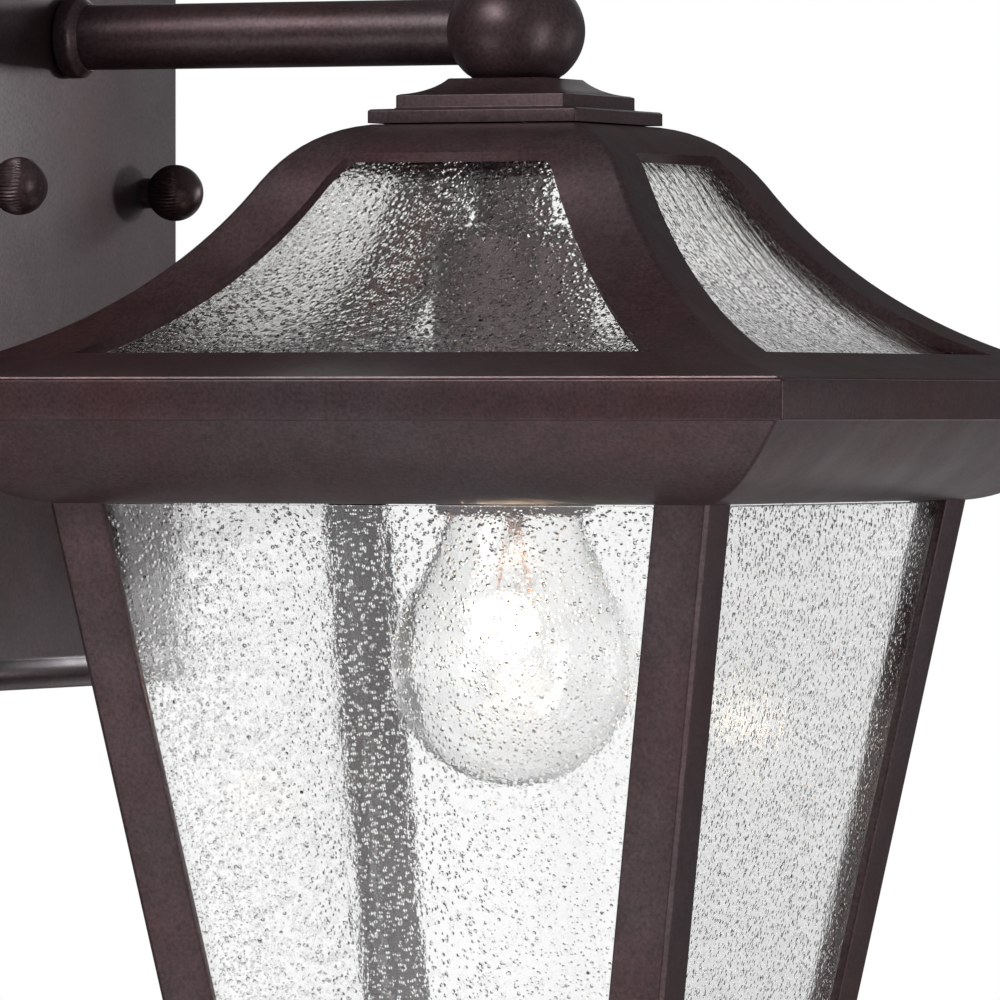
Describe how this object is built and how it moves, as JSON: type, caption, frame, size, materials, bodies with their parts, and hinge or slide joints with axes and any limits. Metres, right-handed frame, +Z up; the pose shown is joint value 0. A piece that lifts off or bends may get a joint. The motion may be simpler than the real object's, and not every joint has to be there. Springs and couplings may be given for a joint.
{
  "type": "outdoor wall lantern",
  "caption": "Square tapered outdoor wall lantern with a bell-shaped glazed roof, seeded glass panes, a bracket arm on a rectangular backplate and a hinged bottom plate.",
  "frame": {"origin": "centre of the crossbar's rear face, on the wall, on the line between the two ball nuts", "axes": "+X out of the wall along the arm, +Y along the wall to the right of a person facing it, +Z up"},
  "size_m": [0.2583, 0.2286, 0.4315],
  "materials": {
    "bronze_paint": "dark oil-rubbed bronze, satin, faint red-brown mottling and lighter edges",
    "seeded_glass": "clear seeded glass with fine bubbles and drawn ripples",
    "bulb_glass": "clear smooth bulb glass",
    "zinc_steel": "zinc-plated steel",
    "green_steel": "green ground screw",
    "brass": "drawn brass",
    "porcelain": "glazed white porcelain",
    "tungsten": "glowing coiled wire"
  },
  "bodies": {
    "lantern": {"crossbar": "zinc_steel", "mounting_stud_left": "zinc_steel", "mounting_stud_right": "zinc_steel", "stud_nut_left": "zinc_steel", "stud_nut_right": "zinc_steel", "ground_screw": "green_steel", "backplate": "bronze_paint", "arm_tube": "bronze_paint", "arm_collar": "bronze_paint", "arm_washer": "zinc_steel", "arm_nut": "zinc_steel", "coupling_ball": "bronze_paint", "nipple": "zinc_steel", "roof_cap": "bronze_paint", "roof_frame": "bronze_paint", "roof_glass_front": "seeded_glass", "roof_glass_clip_front": "bronze_paint", "roof_glass_right": "seeded_glass", "roof_glass_clip_right": "bronze_paint", "roof_glass_back": "seeded_glass", "roof_glass_clip_back": "bronze_paint", "roof_glass_left": "seeded_glass", "roof_glass_clip_left": "bronze_paint", "eave_frame": "bronze_paint", "post_front_right": "bronze_paint", "post_back_right": "bronze_paint", "post_back_left": "bronze_paint", "post_front_left": "bronze_paint", "body_glass_front": "seeded_glass", "body_glass_clip_front": "bronze_paint", "body_glass_right": "seeded_glass", "body_glass_clip_right": "bronze_paint", "body_glass_back": "seeded_glass", "body_glass_clip_back": "bronze_paint", "body_glass_left": "seeded_glass", "body_glass_clip_left": "bronze_paint", "base_frame": "bronze_paint", "hinge_pin": "zinc_steel", "cap_nut": "zinc_steel", "socket_stem": "bronze_paint", "socket_cup": "bronze_paint", "socket_insulator": "porcelain", "screw_shell": "brass", "centre_contact": "brass"},
    "ball_nut_left": {"ball_nut_left": "bronze_paint"},
    "ball_nut_right": {"ball_nut_right": "bronze_paint"},
    "bulb": {"bulb_base": "brass", "bulb_envelope": "bulb_glass", "bulb_mount": "bulb_glass", "filament": "tungsten"},
    "base_door": {"base_door": "bronze_paint", "finial": "bronze_paint", "finial_nut": "zinc_steel"},
    "thumbscrew": {"thumbscrew": "bronze_paint"}
  },
  "joints": [
    {"name": "ball_nut_left_turn", "type": "hinge", "parent": "lantern", "child": "ball_nut_left", "pos_m": [0.0334, -0.04445, 0], "axis": [1, 0, 0], "continuous": true},
    {"name": "ball_nut_right_turn", "type": "hinge", "parent": "lantern", "child": "ball_nut_right", "pos_m": [0.0334, 0.04445, 0], "axis": [1, 0, 0], "continuous": true},
    {"name": "bulb_unscrew", "type": "slide", "parent": "lantern", "child": "bulb", "axis": [0, 0, -1], "range_m": [0, 0.03]},
    {"name": "base_door_hinge", "type": "hinge", "parent": "lantern", "child": "base_door", "pos_m": [0.093, 0, -0.2804], "axis": [0, 1, 0], "range_deg": [0, 95]},
    {"name": "thumbscrew_turn", "type": "hinge", "parent": "base_door", "child": "thumbscrew", "pos_m": [0.185, 0, -0.2804], "axis": [0, 0, 1], "continuous": true}
  ]
}
